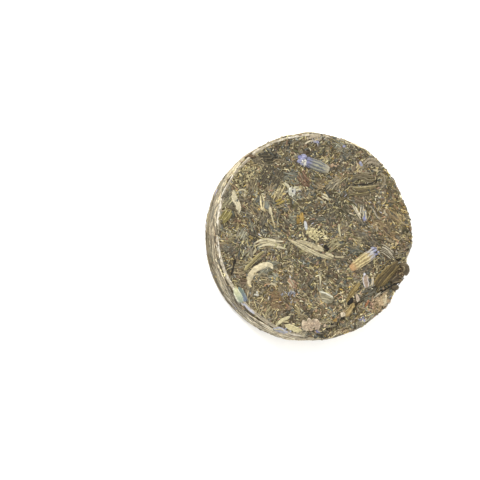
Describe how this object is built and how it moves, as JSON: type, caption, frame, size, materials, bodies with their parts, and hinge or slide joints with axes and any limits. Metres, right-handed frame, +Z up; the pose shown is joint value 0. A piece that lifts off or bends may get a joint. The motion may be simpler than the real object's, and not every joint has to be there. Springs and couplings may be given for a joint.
{
  "type": "pressed herbal tea cake",
  "caption": "Small round flat cake of pressed tea leaf with lavender flowers, one stretch of its rim flaked off, to be dropped into a cup or pot and steeped.",
  "frame": {"origin": "centre of the flat underside that the cake lies on", "axes": "+Z up out of the pressed face, +X to the right and +Y away as the cake lies, with the flaked stretch of rim at the lower right"},
  "size_m": [0.0406, 0.0406, 0.0092],
  "materials": {
    "pressed_leaf": "matte, fine-cut dark olive and brown tea leaf pressed together",
    "pale_fibre": "matte, straw-coloured stems, bracts and leaf veins with a fine lengthwise grain",
    "lavender_bud": "matte, ribbed and finely hairy dried calyx, grey-blue to straw",
    "lavender_petal": "matte, thin crumpled dried petals, grey violet to cream"
  },
  "bodies": {
    "root": {"tea_cake": "pressed_leaf"}
  },
  "joints": []
}
